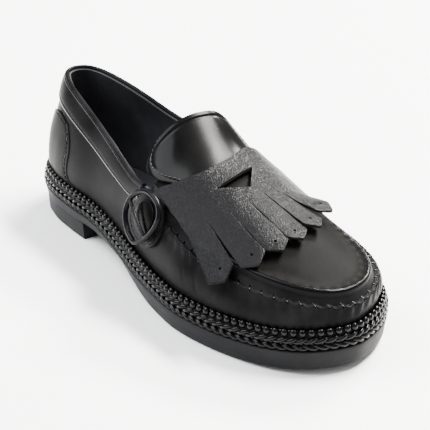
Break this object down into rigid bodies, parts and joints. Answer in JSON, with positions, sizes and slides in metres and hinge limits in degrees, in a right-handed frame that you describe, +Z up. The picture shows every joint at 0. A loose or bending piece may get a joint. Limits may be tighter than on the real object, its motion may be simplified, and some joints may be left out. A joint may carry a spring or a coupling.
{
  "type": "kiltie loafer",
  "caption": "Right-foot loafer with a low block heel, braided storm welt, raised apron seam, fringed kiltie over the tongue and a side buckle.",
  "frame": {"origin": "on the floor under the middle of the shoe's box, at the plane the heel and the ball of the sole rest on", "axes": "+X to the toe, +Y to the inner (medial) side, +Z up; the buckle is on the outer (lateral) side, -Y"},
  "size_m": [0.272, 0.1016, 0.09],
  "materials": {
    "sole_rubber": "matte dark grey rubber, smooth sides",
    "welt_braid": "glossy black braided cord",
    "insole_lining": "matte black lining leather",
    "smooth_leather": "semi-gloss black smooth leather",
    "tongue_leather": "glossy black smooth leather",
    "grained_leather": "matte black pebbled leather",
    "buckle_metal": "dark coated metal, semi-gloss"
  },
  "bodies": {
    "root": {"outsole": "sole_rubber", "heel": "sole_rubber", "welt": "welt_braid", "insole": "insole_lining", "upper": "smooth_leather", "tongue": "tongue_leather", "kiltie": "grained_leather", "collar_band": "smooth_leather", "heel_counter": "smooth_leather", "buckle_tab": "smooth_leather", "buckle_strap": "tongue_leather", "buckle_frame": "buckle_metal"}
  },
  "joints": []
}
